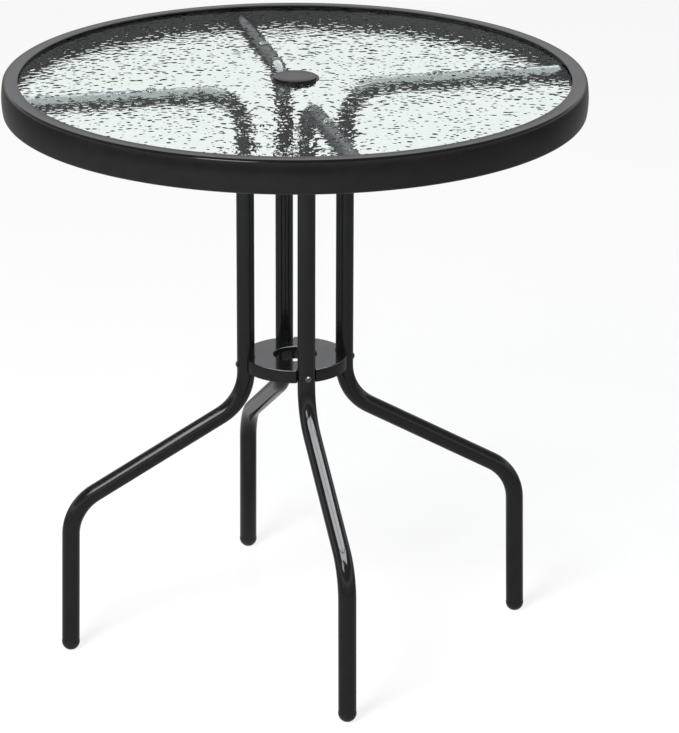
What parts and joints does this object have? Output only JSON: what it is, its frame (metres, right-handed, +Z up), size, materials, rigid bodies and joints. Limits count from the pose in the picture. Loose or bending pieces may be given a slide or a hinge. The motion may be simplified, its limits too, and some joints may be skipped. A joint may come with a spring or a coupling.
{
  "type": "umbrella table",
  "caption": "Round glass-topped patio table in a black steel hoop on bent tube legs, with a capped umbrella hole and a ring plate that guides the pole.",
  "frame": {"origin": "on the floor, on the axis of the umbrella pole", "axes": "+Z up along the umbrella pole; +X, +Y, -X and -Y each along one leg"},
  "size_m": [0.7, 0.7, 0.7154],
  "materials": {
    "frame_black": "satin-gloss black powder coat with a fine orange peel",
    "table_glass": "clear tempered glass with a patterned face and a pale green tint",
    "black_rubber": "matt black extruded channel",
    "black_plastic": "moulded black plastic, satin with a fine grain",
    "black_screw": "black coated steel, smooth",
    "zinc_steel": "bright zinc plate",
    "clear_vinyl": "clear soft vinyl, slightly clouded"
  },
  "bodies": {
    "table": {"rim_hoop": "frame_black", "glass_panel": "table_glass", "glass_trim": "black_rubber", "hole_ring": "black_plastic", "ring_plate": "frame_black", "leg_tube_right": "frame_black", "foot_cap_right": "black_plastic", "rim_bracket_right": "frame_black", "glass_pad_right": "clear_vinyl", "plate_bolt_right": "black_screw", "plate_nut_right": "zinc_steel", "rim_screw_right": "black_screw", "rim_nut_right": "zinc_steel", "leg_tube_back": "frame_black", "foot_cap_back": "black_plastic", "rim_bracket_back": "frame_black", "glass_pad_back": "clear_vinyl", "plate_bolt_back": "black_screw", "plate_nut_back": "zinc_steel", "rim_screw_back": "black_screw", "rim_nut_back": "zinc_steel", "leg_tube_left": "frame_black", "foot_cap_left": "black_plastic", "rim_bracket_left": "frame_black", "glass_pad_left": "clear_vinyl", "plate_bolt_left": "black_screw", "plate_nut_left": "zinc_steel", "rim_screw_left": "black_screw", "rim_nut_left": "zinc_steel", "leg_tube_front": "frame_black", "foot_cap_front": "black_plastic", "rim_bracket_front": "frame_black", "glass_pad_front": "clear_vinyl", "plate_bolt_front": "black_screw", "plate_nut_front": "zinc_steel", "rim_screw_front": "black_screw", "rim_nut_front": "zinc_steel"},
    "cap": {"hole_cap": "black_plastic"}
  },
  "joints": [
    {"name": "cap_lift", "type": "slide", "parent": "table", "child": "cap", "axis": [0, 0, 1], "range_m": [0, 0.06]}
  ]
}
